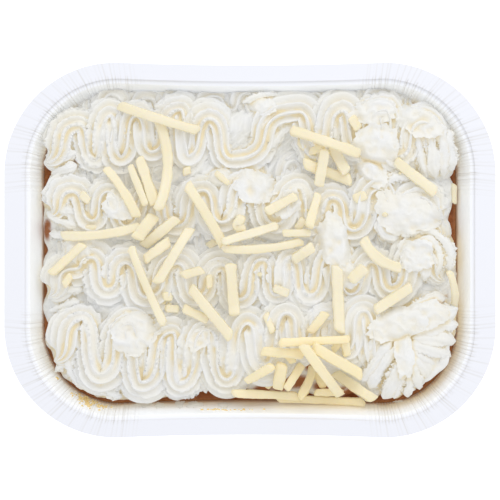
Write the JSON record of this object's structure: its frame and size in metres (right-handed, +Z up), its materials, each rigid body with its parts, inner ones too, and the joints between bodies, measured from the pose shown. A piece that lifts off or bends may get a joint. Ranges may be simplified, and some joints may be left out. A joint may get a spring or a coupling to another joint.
{
  "type": "shepherds pie",
  "caption": "Shepherd's pie as a chilled ready meal: dark meat filling under rows of piped mashed potato with grated cheese, in its white pressed-board tray with a flat flange.",
  "frame": {"origin": "middle of the underside of the tray's flat base", "axes": "+X along the tray's length, +Y across it, +Z up"},
  "size_m": [0.19, 0.145, 0.0501],
  "materials": {
    "board": "white coated board, satin, finely pleated at the corners",
    "meat": "dark brown minced meat in gravy, moist",
    "mash": "off-white piped mashed potato, uncooked, soft satin",
    "cheese": "pale yellow grated hard cheese, waxy satin"
  },
  "bodies": {
    "root": {"tray": "board", "filling": "meat", "mash": "mash", "cheese_01": "cheese", "cheese_02": "cheese", "cheese_03": "cheese", "cheese_04": "cheese", "cheese_05": "cheese", "cheese_06": "cheese", "cheese_07": "cheese", "cheese_08": "cheese", "cheese_09": "cheese", "cheese_10": "cheese", "cheese_11": "cheese", "cheese_12": "cheese", "cheese_13": "cheese", "cheese_14": "cheese", "cheese_15": "cheese", "cheese_16": "cheese", "cheese_17": "cheese", "cheese_18": "cheese", "cheese_19": "cheese", "cheese_20": "cheese", "cheese_21": "cheese", "cheese_22": "cheese", "cheese_23": "cheese", "cheese_24": "cheese", "cheese_25": "cheese", "cheese_26": "cheese", "cheese_27": "cheese", "cheese_28": "cheese", "cheese_29": "cheese", "cheese_30": "cheese", "cheese_31": "cheese", "cheese_32": "cheese", "cheese_33": "cheese", "cheese_34": "cheese", "cheese_35": "cheese", "cheese_36": "cheese", "cheese_37": "cheese", "cheese_38": "cheese", "cheese_39": "cheese", "cheese_40": "cheese", "cheese_41": "cheese", "cheese_42": "cheese", "cheese_43": "cheese", "cheese_44": "cheese", "cheese_45": "cheese", "cheese_46": "cheese", "cheese_47": "cheese", "cheese_48": "cheese", "cheese_49": "cheese"}
  },
  "joints": []
}
